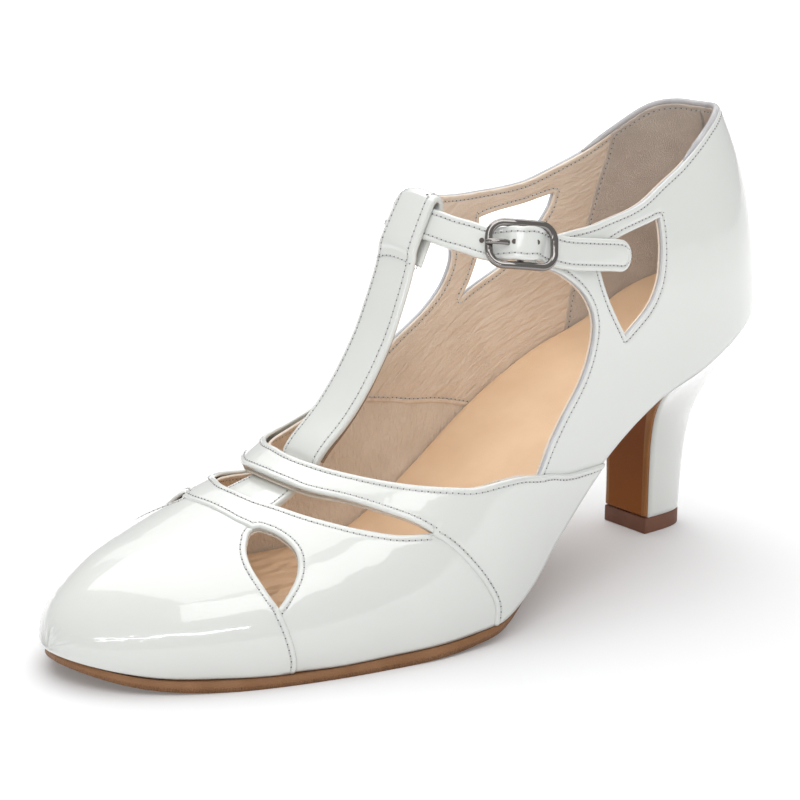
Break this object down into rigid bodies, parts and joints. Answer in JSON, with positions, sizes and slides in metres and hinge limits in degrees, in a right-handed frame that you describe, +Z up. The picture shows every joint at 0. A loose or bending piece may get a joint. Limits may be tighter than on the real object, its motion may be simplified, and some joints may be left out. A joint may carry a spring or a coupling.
{
  "type": "T-strap shoe",
  "caption": "Heeled T-strap dress shoe, left foot: cut-out patent upper with a buckled ankle strap, thin arched sole, flared covered heel and soft insole.",
  "frame": {"origin": "on the floor at the middle of the heel's tread", "axes": "+Z up, toe along -Y, +X towards the outer side of the foot, where the buckle is"},
  "size_m": [0.0856, 0.2237, 0.1223],
  "materials": {
    "white_patent": "glossy white patent leather",
    "tan_leather": "smooth tan insole leather, softly worn",
    "brown_sole": "brown sole leather with a satin stained edge",
    "brown_breast": "dark brown smooth leather",
    "brown_rubber": "firm dark brown heel rubber",
    "dark_nickel": "dark polished nickel"
  },
  "bodies": {
    "root": {"upper": "white_patent", "t_bar": "white_patent", "ankle_strap": "white_patent", "buckle_chape": "white_patent", "heel": "white_patent", "insole": "tan_leather", "outsole": "brown_sole", "breast_cover": "brown_breast", "top_piece": "brown_rubber", "buckle_frame": "dark_nickel", "buckle_prong": "dark_nickel"}
  },
  "joints": []
}
